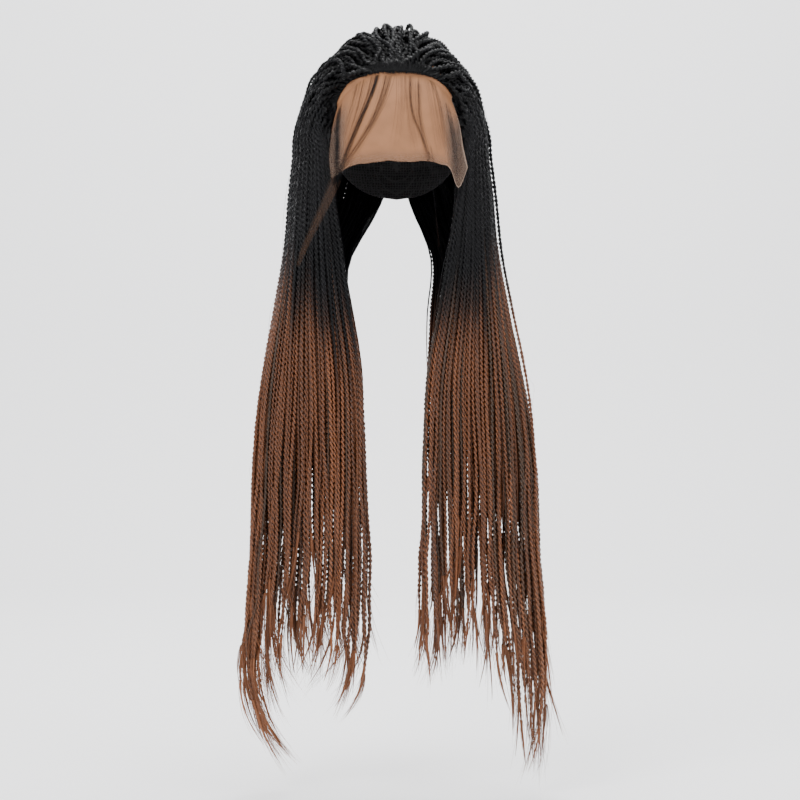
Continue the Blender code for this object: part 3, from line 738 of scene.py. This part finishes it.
def addTwist(pile, name, made, i, r):  # one twist and the tuft at its end
    place, first = made["side"][i], made["row"][i] == 0
    kind = "near" if made["near"][i] else "far"
    arc, points, turned = resample(made["path"][i], threadSet["step"][kind], made["normal"][i])
    length = arc[-1]
    tuft = r.uniform(*tuftSet["length"])
    keep = arc < length - tuft
    points, arc, turned = points[keep], arc[keep], unit(turned[keep])
    size = r.uniform(*threadSet["size"])
    root = threadSet["laterRoot"]
    if first:
        longer = 1.0 + threadSet["templeRoot"] * smooth(threadSet["templeFrom"], 1.0, place)
        root = r.uniform(*threadSet["rootLength"]) * longer
    width = mix(threadSet["width"], threadSet["tipWidth"], smooth(*threadSet["narrow"], arc / length))
    rootWidth = threadSet["rootWidth"] * (threadSet["firstWiden"] if first else 1.0)
    width = mix(rootWidth, width, smooth(0.0, threadSet["rootTo"], arc)) * size
    width = width * (1.0 if kind == "near" else threadSet["farWiden"])
    ending = smooth(length - tuft - threadSet["endOver"], length - tuft, arc)
    width = width * (1.0 + threadSet["ripple"] * np.sin(arc * threadSet["ripples"] + i))
    width = width * mix(1.0, threadSet["endShare"], ending)
    pitch = threadSet["pitch"] * r.uniform(*threadSet["pitchVary"])
    section = twistSections[kind]
    verts, grain = twistTube(points, turned, arc, width, section, root, pitch, r.random() * grainGap["twist"])
    outerShare = 1.0 - abs(2 * place - 1.0)
    tone = r.normal(threadSet["tone"][kind], threadSet["toneSpread"]) - sides[name]["ashen"] * outerShare
    tone = float(np.clip(tone, 0.0, 1.0))
    # the roots lie in each other's shade
    shade = threadSet["rootShade"] * (1.0 - smooth(*threadSet["shadeTo"], arc))[:, None]
    groove = np.maximum(section["groove"], shade if first else threadSet["laterShade"] * shade)
    # the outer hair turns brown a little higher than the hair beside the face and the neck
    early = sides[name]["early"] * outerShare ** threadSet["turnPower"]
    turn = float(r.normal(0.0, threadSet["turnSpread"]) + early - threadSet["turnShift"])
    addTubes(pile, verts, grain, groove, tone, turn)
    heading = unit(points[-1] - points[-threadSet["headingSteps"]])
    lean = tuftSet["lean"] * float(readTable(looseEnds, "side", name + "Sway", np.array(place)))
    endWidth = width[-1] / threadSet["endShare"]
    addTuft(pile, points[-1], heading, tuft, endWidth, lean, min(1.0, tone + threadSet["tuftTone"]), turn, r)


laneSet = {"drift": 0.006, "driftWaves": (4, 0.8), "swayWaves": (5, 0.7), "margin": 0.005}


def laneStrands(name, side, start, stop, depth, steps, sway, r):  # strands that follow the twists' own lanes
    t = start[:, None] + (stop - start)[:, None] * np.linspace(0.0, 1.0, steps)
    along = side[:, None] + laneSet["drift"] * wander(r, len(side), steps, *laneSet["driftWaves"])
    along = np.clip(along, laneSet["margin"], 1.0 - laneSet["margin"])
    outer, normal, lateral = laneFrame(name, along, t)
    aside = sway * wander(r, len(side), steps, *laneSet["swayWaves"])
    return outer - normal * depth[..., None] + lateral * aside[..., None]


bands = [("nape_twists", 0.0, 0.34), ("crown_twists", 0.34, 0.67), ("temple_twists", 0.67, 1.001)]
looseSet = {  # smooth strands that fill in behind the twists: long ones all over, more at nape and temple
    "nape": 100, "long": 130, "temple": 60,
    "napeSide": (0.0, 0.30), "longSide": (0.05, 0.96), "templeSide": (0.80, 1.0),
    "start": (0.35, 0.7), "templeStart": (0.08, 0.25), "templeFrom": 0.8,
    "stop": (1.6, 2.5), "longStop": (2.75, 3.0),
    "steps": 22, "radius": (0.0008, 0.0018), "wider": 1.35, "longWider": 1.9, "taper": 0.85, "taperPower": 5,
    # these strands lie behind the twists and are darkened by painted shade
    "depth": (0.0060, 0.0120), "sway": 0.0016, "groove": 0.35, "tone": (0.2, 0.5), "turn": -0.01,
}


def looseHair(name, piles, r):  # each strand goes into the piece whose band it starts in
    counts = [looseSet["nape"], looseSet["long"], looseSet["temple"]]
    n, steps = sum(counts), looseSet["steps"]
    reaches = [looseSet["napeSide"], looseSet["longSide"], looseSet["templeSide"]]
    side = np.concatenate([r.uniform(*reach, count) for reach, count in zip(reaches, counts)])
    long = np.repeat([False, True, False], counts)
    stop = np.where(long, r.uniform(*looseSet["longStop"], n), r.uniform(*looseSet["stop"], n))
    atTemple = side > looseSet["templeFrom"]
    start = np.where(atTemple, r.uniform(*looseSet["templeStart"], n), r.uniform(*looseSet["start"], n))
    depth = np.repeat(r.uniform(*looseSet["depth"], n)[:, None], steps, 1)
    s = np.linspace(0.0, 1.0, steps)
    depth = depth + besideLoose(name, side, start[:, None] + (stop - start)[:, None] * s)
    path = laneStrands(name, side, start, stop, depth, steps, looseSet["sway"], r)
    radius = tapered(r.uniform(*looseSet["radius"], (n, 1)), s, looseSet)
    radius = radius * np.where(long, looseSet["longWider"], looseSet["wider"])[:, None]
    verts, grain = strandTubes(path, radius, 3, r)
    for band, low, high in bands:
        pick = (side >= low) & (side < high)
        tone = r.uniform(*looseSet["tone"], pick.sum())
        addTubes(piles[band], verts[pick], grain[pick], looseSet["groove"], tone, looseSet["turn"])


flySet = {
    "count": 34, "steps": 26, "radius": (0.00010, 0.00017), "taper": 0.5, "taperPower": 2,
    "side": (0.05, 0.98), "start": (0.1, 2.4), "length": (0.25, 0.7), "depth": 0.003, "sway": 0.0030,
    "out": 0.0075, "bow": (0.2, 1.0), "bowPower": 1.5, "groove": 0.0, "tone": (0.4, 0.9), "turn": 0.0,
}


def flyaways(name, pile, r):  # single hairs that bow out of the mass and come back to it
    n, steps = flySet["count"], flySet["steps"]
    start = r.uniform(*flySet["start"], n)
    s = np.linspace(0.0, 1.0, steps)
    out = r.uniform(*flySet["bow"], (n, 1)) * flySet["out"] * np.sin(math.pi * s) ** flySet["bowPower"]
    side = r.uniform(*flySet["side"], n)
    stop = np.minimum(start + r.uniform(*flySet["length"], n), fallEnd)
    path = laneStrands(name, side, start, stop, flySet["depth"] - out, steps, flySet["sway"], r)
    addStrands(pile, path, tapered(r.uniform(*flySet["radius"], (n, 1)), s, flySet), flySet, r)


hairlineSet = {
    "count": 900, "steps": 5, "radius": (0.00014, 0.00040), "swell": (0.12, 0.80),
    "before": 0.046, "beforePower": 1.5, "past": (0.04, 0.11), "fan": 0.045, "lie": 0.0037, "rise": 0.0030,
    # the short hairs over the roots are darkened by painted shade
    "riseOver": 0.05, "lift": (-0.0002, 0.0012), "groove": 0.45, "tone": (0.1, 0.6), "turn": 0.06,
}


def hairlineHair(name, pile, r):  # short hair drawn back from the lace over the flat roots
    n, steps = hairlineSet["count"], hairlineSet["steps"]
    side = r.random(n)
    s = np.linspace(0.0, 1.0, steps)
    past = r.uniform(*hairlineSet["past"], (n, 1))
    edge = hairline(name, side)[:, None]
    before = r.uniform(0.0, 1.0, (n, 1)) ** hairlineSet["beforePower"]
    along = edge - hairlineSet["before"] * before + past * s
    spread = side[:, None] + r.normal(size=(n, 1)) * hairlineSet["fan"] * s
    direction = headDirection(name, np.clip(spread, 0.0, 1.0), along)
    rise = hairlineSet["lie"] + hairlineSet["rise"] * smooth(0.0, hairlineSet["riseOver"], along - edge)
    rise = rise + r.uniform(*hairlineSet["lift"], (n, 1)) * s
    path = headCentre + direction * (skullReach(direction, 0.0) + rise)[..., None]
    start, over = hairlineSet["swell"]
    radius = r.uniform(*hairlineSet["radius"], (n, 1)) * np.sin(math.pi * (start + over * s))
    addStrands(pile, path, radius, hairlineSet, r)


finePile = newPile()
for name in sides:
    made = twistPaths(name)
    r = made["r"]
    piles = {band: newPile() for band, low, high in bands}
    for i in range(twistSet["count"]):
        band = next(b for b, low, high in bands if low <= made["side"][i] < high)
        addTwist(piles[band], name, made, i, r)
    looseHair(name, piles, r)
    flyaways(name, finePile, r)
    hairlineHair(name, finePile, r)
    for band, low, high in bands:
        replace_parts(writePile(piles[band], f"{band}_{name}_hair", hairFinish), f"{band}_{name}")
print("twists made")

laceSet = {
    "halfTurn": 57, "rightTurn": 61, "drop": 0.144, "columns": 81, "rows": 57, "thickness": 0.0004,
    "under": 0.007, "corner": 0.013, "cornerAt": (0.54, 0.78),   # how far it runs up under the hair
    "bulge": 0.003, "clear": 0.0005, "overCap": 0.0007, "offCap": 0.0035,
    "hungMost": 1.4, "flarePower": 1.5, "hemWaves": [(0.0004, 13.0, 0.0), (0.0002, 31.0, 1.0)],
    "foldHeight": 0.0016, "foldFrom": 0.6, "foldWaves": (9.0, 5.0),
    "rippleHeight": 0.0005, "ripples": (3.0, 17.0),
}
laceHem = tableOf("across drop flare", [
    (-1.00, 1.09, 0.09),
    (-0.86, 1.06, 0.08),
    (-0.62, 1.01, 0.06),
    (-0.20, 0.985, 0.05),
    (0.20, 0.985, 0.05),
    (0.58, 0.99, 0.09),
    (0.76, 1.03, 0.11),
    (0.88, 1.16, 0.13),
    (1.00, 1.00, 0.16),
])


def lacePush(across, hung):  # the flare by a power of the share hung, and a bulge between
    flare = readTable(laceHem, "across", "flare", across) * head["halfDepth"]
    return flare * hung ** laceSet["flarePower"] + laceSet["bulge"] * np.sin(math.pi * np.minimum(hung, 1.0))


def laceSurface(across, down):  # from the cap's edge to the hem, hanging off the brow, with folds low down
    turn = np.abs(across) * np.where(across > 0, laceSet["halfTurn"], laceSet["rightTurn"]) / 180.0
    under = laceSet["under"] + laceSet["corner"] * smooth(*laceSet["cornerAt"], np.abs(across))
    top = readTable(capEdge, "turn", "drop", turn) * head["drop"] - under
    hem = readTable(laceHem, "across", "drop", across) * laceSet["drop"]
    for height, waves, shift in laceSet["hemWaves"]:
        hem = hem + height * np.sin(across * waves + shift)
    drop = mix(top, hem, down)
    over = (head["wall"] + laceSet["overCap"]) * (1.0 - smooth(0.0, laceSet["offCap"], drop - top - under))
    base = skullPoint(turn, np.minimum(drop, head["drop"]), laceSet["clear"] + over)
    x = base[..., 0] * np.where(across > 0, 1.0, -1.0)
    out = unit(stack(x, base[..., 1], 0.0))
    hung = np.clip((drop - top - under) / (hem - top - under), 0.0, laceSet["hungMost"])
    fold = laceSet["foldHeight"] * smooth(laceSet["foldFrom"], 1.0, np.abs(across))
    fold = fold * np.sin(down * laceSet["foldWaves"][0] + across * laceSet["foldWaves"][1])
    ripple = np.sin(down * laceSet["ripples"][0] + across * laceSet["ripples"][1])
    push = lacePush(across, hung) + (fold + laceSet["rippleHeight"] * ripple) * down ** 2
    return stack(x, base[..., 1], -drop) + out * push[..., None], out


def meshObject(name, verts, faces, material):  # a smooth mesh from places and faces
    mesh = bpy.data.meshes.new(name)
    mesh.from_pydata(verts, [], faces)
    mesh.validate()
    mesh.shade_smooth()
    mesh.materials.append(material)
    return newObject(name, mesh)


def sheetMesh(name, points, normal, material, fields):  # a grid skinned on both sides, closed round its rim
    rows, cols = points.shape[:2]
    back = points + normal * laceSet["thickness"]
    verts = np.concatenate([points.reshape(-1, 3), back.reshape(-1, 3)])
    i = (np.arange(rows - 1)[:, None] * cols + np.arange(cols - 1)).reshape(-1)
    one = np.stack([i, i + 1, i + cols + 1, i + cols], 1)
    total = rows * cols
    around = np.concatenate([
        np.arange(cols - 1), np.arange(rows - 1) * cols + cols - 1,
        (rows - 1) * cols + np.arange(cols - 1, 0, -1), np.arange(rows - 1, 0, -1) * cols,
    ])
    after = np.roll(around, -1)
    edge = np.stack([around, after, after + total, around + total], 1)
    faces = np.concatenate([one[:, ::-1], one + total, edge])
    obj = meshObject(name, verts.tolist(), faces.tolist(), material)
    for key, value in fields.items():
        writeAttribute(obj.data, key, np.concatenate([value, value]).reshape((2 * total, *value.shape[2:])))
    return obj


laceFade = {  # where the cut edges show and where the net thins out, as shares across and down
    "sideEdge": (0.975, 1.0), "hemEdge": (0.985, 1.0), "hemEdgeAt": (0.45, 0.75), "sheerBelow": (0.25, 0.6),
    "sideSheer": (0.60, 0.84), "hemSheer": (0.85, 1.0), "hemShare": 0.45, "spacing": 0.9,
}
across = np.linspace(-1, 1, laceSet["columns"])[None, :] + np.zeros((laceSet["rows"], 1))
down = np.linspace(0, 1, laceSet["rows"])[:, None] ** laceFade["spacing"] + np.zeros((1, laceSet["columns"]))
lacePoints, laceOut = laceSurface(across, down)
du = np.linalg.norm(np.diff(lacePoints, axis=1), axis=-1)
dv = np.linalg.norm(np.diff(lacePoints, axis=0), axis=-1)
# distances along the cloth from its middle and its top, for the net, and a thin band at the cut edges
run = np.concatenate([np.zeros((laceSet["rows"], 1)), np.cumsum(du, 1)], 1)
fallen = np.concatenate([np.zeros((1, laceSet["columns"])), np.cumsum(dv, 0)], 0)
lowRim = smooth(*laceFade["hemEdge"], down) * smooth(*laceFade["hemEdgeAt"], across)
rim = np.maximum(smooth(*laceFade["sideEdge"], across), lowRim)
lowSheer = laceFade["hemShare"] * smooth(*laceFade["hemSheer"], down)
sheer = np.maximum(smooth(*laceFade["sideSheer"], np.abs(across)), lowSheer)
sheer = sheer * smooth(*laceFade["sheerBelow"], down)
weave = stack(run - run[:, laceSet["columns"] // 2][:, None], fallen, 0.0)
lace = sheetMesh("lace_panel", lacePoints, laceOut, laceFinish, {"weave": weave, "rim": rim, "sheer": sheer})
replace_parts(lace, "lace_front")
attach(lace, "root")

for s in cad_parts["wig_cap"].material_slots:
    s.material = capFinish

# fine hair over the lace: each row is a lock through four places (millimetres across and up),
# then its hairs, how far they spread at the top and below, and how thick they are
browLocks = tableOf("x0 z0 x1 z1 x2 z2 x3 z3 hairs top low thick", [
    (-19.0, -43.0, -29.3, -76.0, -47.8, -116.4, -65.0, -163.0, 34, 4.2, 1.2, 0.095),
    (-26.0, -43.0, -34.5, -80.0, -50.0, -120.0, -62.0, -150.0, 12, 5.0, 2.0, 0.070),
    (-5.5, -43.0, -20.3, -89.4, -40.4, -121.2, -60.5, -150.0, 18, 5.0, 2.2, 0.076),
    (-11.0, -43.0, -20.0, -85.0, -38.0, -118.0, -60.0, -146.0, 10, 5.0, 3.0, 0.063),
    (-59.0, -64.0, -63.6, -98.0, -64.0, -126.5, -65.5, -154.0, 45, 3.4, 1.8, 0.101),
    (15.7, -43.0, 16.7, -87.3, 25.2, -110.6, 32.0, -138.0, 12, 3.6, 1.2, 0.070),
    (24.1, -43.0, 24.1, -89.4, 29.4, -113.8, 38.0, -149.0, 14, 3.4, 1.2, 0.076),
    (34.0, -130.0, 37.9, -163.5, 42.1, -203.7, 44.2, -230.0, 3, 0.6, 0.5, 0.095),
    (34.8, -46.0, 46.3, -73.6, 50.4, -97.9, 58.0, -119.0, 10, 3.0, 1.4, 0.070),
    (36.0, -124.0, 43.2, -153.0, 50.6, -166.5, 58.0, -176.0, 4, 1.4, 1.2, 0.076),
    (2.0, -43.0, 3.0, -72.0, 1.0, -98.0, -2.0, -120.0, 10, 9.0, 8.0, 0.060),
    (16.0, -43.0, 17.0, -80.0, 20.0, -105.0, 24.0, -128.0, 14, 9.0, 8.0, 0.060),
    (36.0, -48.0, 41.0, -78.0, 45.0, -104.0, 50.0, -126.0, 12, 6.0, 6.0, 0.060),
    (-41.0, -46.0, -47.0, -76.0, -52.0, -93.0, -56.0, -112.0, 12, 6.0, 5.0, 0.060),
    (-33.0, -44.0, -40.0, -78.0, -46.0, -98.0, -52.0, -120.0, 10, 6.0, 5.0, 0.060),
    (52.0, -68.0, 59.0, -98.0, 63.0, -125.0, 66.0, -152.0, 16, 3.0, 2.0, 0.076),
])
browSet = {
    "steps": 12, "metre": 0.001, "size": (0.6, 1.25), "taper": 0.75, "taperPower": 3,
    "fan": 0.5, "scatter": 0.0015, "uneven": 0.0012, "droop": 0.004, "before": 0.0012, "bow": 0.0025,
    "groove": 0.0, "tone": (0.4, 1.0), "turn": 0.06, "rounds": 5, "hungMost": 1.3, "sideMost": 0.93,
}
# a lock that has slipped out of the right temple and lies across the twists
strayLock = {
    "points": [
        (-0.0665, -0.086, -0.164), (-0.0785, -0.090, -0.193),
        (-0.0930, -0.086, -0.222), (-0.1050, -0.078, -0.250),
    ],
    "steps": 20, "hairs": 46, "spread": 0.0030, "open": 1.2, "gather": 0.6,
    "radius": 0.00010, "size": (0.6, 1.2), "taper": 0.7, "taperPower": 3,
    "groove": 0.0, "tone": (0.0, 0.06), "turn": 0.15,
}


def curveThrough(points, s):  # a cubic through four places at 0, 1/3, 2/3 and 1
    a, b, c, d = points
    t = 3.0 * s[:, None]
    first = a * (1 - t) * (2 - t) * (3 - t) / 6 + b * t * (2 - t) * (3 - t) / 2
    return first - c * t * (1 - t) * (3 - t) / 2 + d * t * (1 - t) * (2 - t) / 6


def laceDepth(x, z):  # how far forward the lace stands at a place seen from the front
    turn = np.zeros_like(x)
    for _ in range(browSet["rounds"]):   # its angle round the head is narrowed in on from the width there
        side = np.clip(turn * 180.0 / laceSet["halfTurn"], 0.0, 1.0) * np.where(x > 0, 1.0, -1.0)
        top = readTable(capEdge, "turn", "drop", turn) * head["drop"]
        hem = readTable(laceHem, "across", "drop", side) * laceSet["drop"]
        push = lacePush(side, np.clip((-z - top) / (hem - top), 0.0, browSet["hungMost"]))
        share = np.clip((head["drop"] - np.minimum(-z, head["drop"])) / head["drop"], 0.0, 1.0)
        roundOff = np.sqrt(1.0 - share * share)
        wide = head["halfWidth"] * roundOff + push
        turn = np.arcsin(np.clip(np.abs(x) / wide, 0.0, browSet["sideMost"])) / math.pi
    return -(head["halfDepth"] * roundOff + push) * np.cos(math.pi * turn)


def browHair(pile, r):  # each lock's hairs fan out round its middle line and lie just before the lace
    s = np.linspace(0.0, 1.0, browSet["steps"])
    for k in range(len(browLocks["x0"])):
        row = {n: browLocks[n][k] for n in browLocks}
        n = int(row["hairs"])
        places = [np.array([row[f"x{i}"], row[f"z{i}"]]) for i in range(4)]
        lock = curveThrough(places, s) * browSet["metre"]
        fan = r.normal(size=(n, 1)) * browSet["fan"] * mix(row["top"], row["low"], s) * browSet["metre"]
        x = lock[None, :, 0] + fan + r.normal(size=(n, 1)) * browSet["scatter"] * s ** 2
        z = lock[None, :, 1] + r.normal(size=(n, 1)) * browSet["uneven"]
        z = z - browSet["droop"] * np.abs(r.normal(size=(n, 1))) * s
        bow = r.uniform(0.0, browSet["bow"], (n, 1)) * np.sin(math.pi * s)
        y = laceDepth(x, z) - browSet["before"] - bow
        radius = tapered(row["thick"] * browSet["metre"] * r.uniform(*browSet["size"], (n, 1)), s, browSet)
        addStrands(pile, stack(x, y, z), radius, browSet, r)


def addStray(pile, r):  # its hairs lie round one curve and draw together towards the end
    s = np.linspace(0.0, 1.0, strayLock["steps"])
    n = strayLock["hairs"]
    middle = curveThrough([np.array(p) for p in strayLock["points"]], s)
    spread = strayLock["spread"] * (strayLock["open"] - strayLock["gather"] * s[:, None])
    path = middle[None] + r.normal(size=(n, 1, 3)) * spread
    radius = tapered(strayLock["radius"] * r.uniform(*strayLock["size"], (n, 1)), s, strayLock)
    addStrands(pile, path, radius, strayLock, r)


fineRandom = np.random.default_rng(7)
browHair(finePile, fineRandom)
addStray(finePile, fineRandom)
writePile(finePile, "fine_hair", wispFinish)
print("fine hair made;", sum(triangleCount.values()), "triangles of hair in all")

room = {
    "floor": -0.812, "front": -5.0, "wall": 2.9, "top": 4.0, "half": 5.0, "bend": 0.60, "bendSteps": 24,
    "paper": (0.92, 0.92, 0.925, 1), "roughness": 0.9,
}
lights = {  # where each stands, what it faces, its size and its power
    "key": ((-1.6, -2.4, 1.6), (0, 0, -0.35), 1.8, 100),
    "fill": ((2.2, -2.0, 0.4), (0, 0, -0.4), 2.0, 44),
    "top": ((0.2, 0.3, 2.2), (0, 0.4, -0.2), 1.8, 72),
    "wash": ((0.0, 1.1, 2.3), (0, 2.6, -0.4), 2.0, 90),
}
air = {"colour": (0.97, 0.975, 1.0, 1), "strength": 0.96}
view = {"place": (0.004, -2.3, -0.394), "angle": 21.73}


def stageMesh():  # a floor that curves up into a wall: straight, a quarter circle, straight
    angle = np.linspace(0, 0.5 * math.pi, room["bendSteps"])
    curveY = room["wall"] - room["bend"] + room["bend"] * np.sin(angle)
    curveZ = room["floor"] + room["bend"] - room["bend"] * np.cos(angle)
    y = np.concatenate([[room["front"]], curveY, [room["wall"]]])
    z = np.concatenate([[room["floor"]], curveZ, [room["top"]]])
    verts = [(x, float(a), float(b)) for a, b in zip(y, z) for x in (-room["half"], room["half"])]
    faces = [(2 * i, 2 * i + 1, 2 * i + 3, 2 * i + 2) for i in range(len(y) - 1)]
    made, _, shader = newMaterial("studioPaper")
    shader.inputs["Base Color"].default_value = room["paper"]
    shader.inputs["Roughness"].default_value = room["roughness"]
    obj = meshObject("studio_cove", verts, faces, made)


def areaLight(name, place, target, size, power):  # turned to face its target
    light = bpy.data.lights.new(name, "AREA")
    light.size = size
    light.energy = power
    obj = newObject(name, light)
    obj.location = place
    obj.rotation_euler = (Vector(target) - Vector(place)).to_track_quat("-Z", "Y").to_euler()


stageMesh()
for name, (place, target, size, power) in lights.items():
    areaLight(name, place, target, size, power)
world = bpy.data.worlds.new("studioAir")
world.use_nodes = True
world.node_tree.nodes["Background"].inputs["Color"].default_value = air["colour"]
world.node_tree.nodes["Background"].inputs["Strength"].default_value = air["strength"]
bpy.context.scene.world = world

camera = newObject("camera", bpy.data.cameras.new("camera"))
camera.data.angle = math.radians(view["angle"])
camera.location = view["place"]
camera.rotation_euler = (math.radians(90), 0, 0)
bpy.context.scene.camera = camera
print("stage made")
